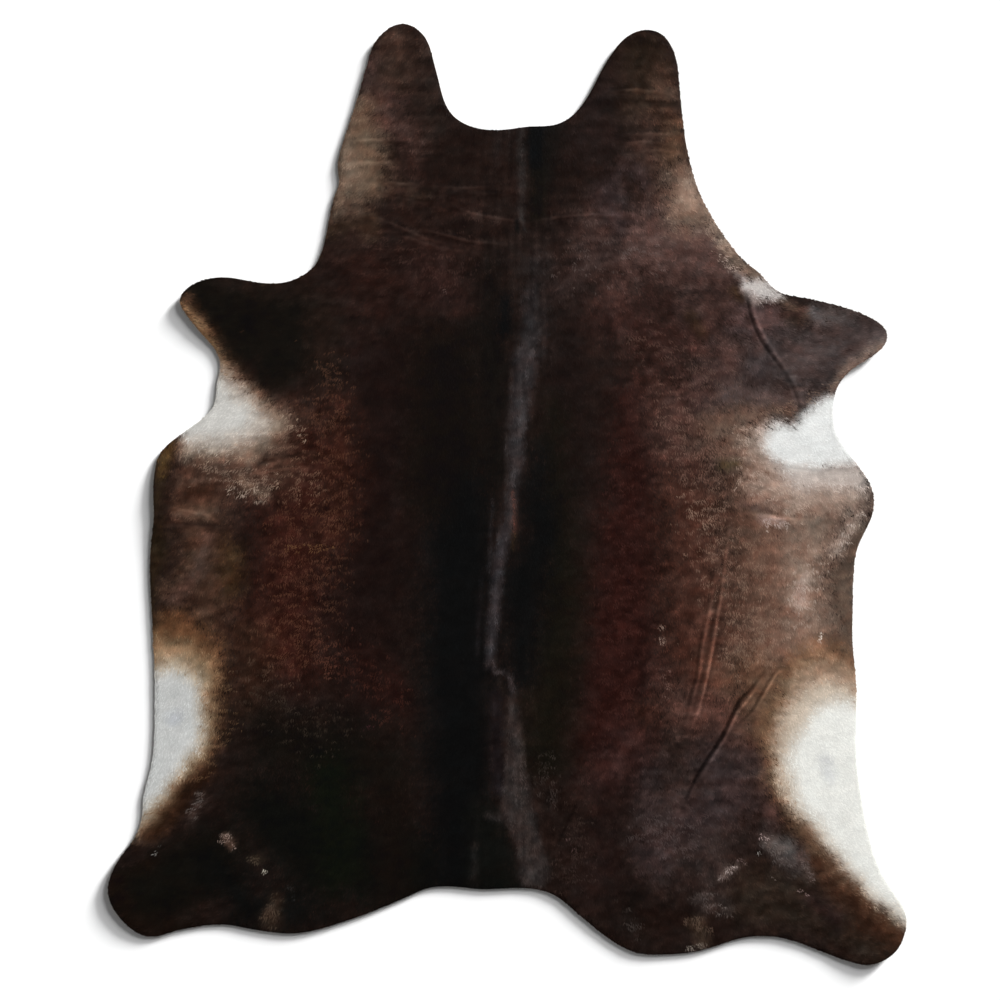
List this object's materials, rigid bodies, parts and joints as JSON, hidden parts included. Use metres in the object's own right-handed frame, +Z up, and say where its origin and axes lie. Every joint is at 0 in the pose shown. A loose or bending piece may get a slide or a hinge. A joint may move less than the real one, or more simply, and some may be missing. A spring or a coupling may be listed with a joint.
{
  "type": "cowhide rug",
  "caption": "Whole cowhide rug lying flat, hair side up: neck flaps, four leg lobes, trimmed tail edge, soft creases on one flank.",
  "frame": {"origin": "on the floor, under the middle of the hide's box", "axes": "+Y along the spine towards the neck, +X across to the hide's right-hand legs as seen from above, +Z up out of the hair"},
  "size_m": [1.918, 2.262, 0.0125],
  "materials": {
    "hair_on_hide": "short glossy hair, near-black brown with white patches at the legs; suede flesh side"
  },
  "bodies": {
    "root": {"hide": "hair_on_hide"}
  },
  "joints": []
}
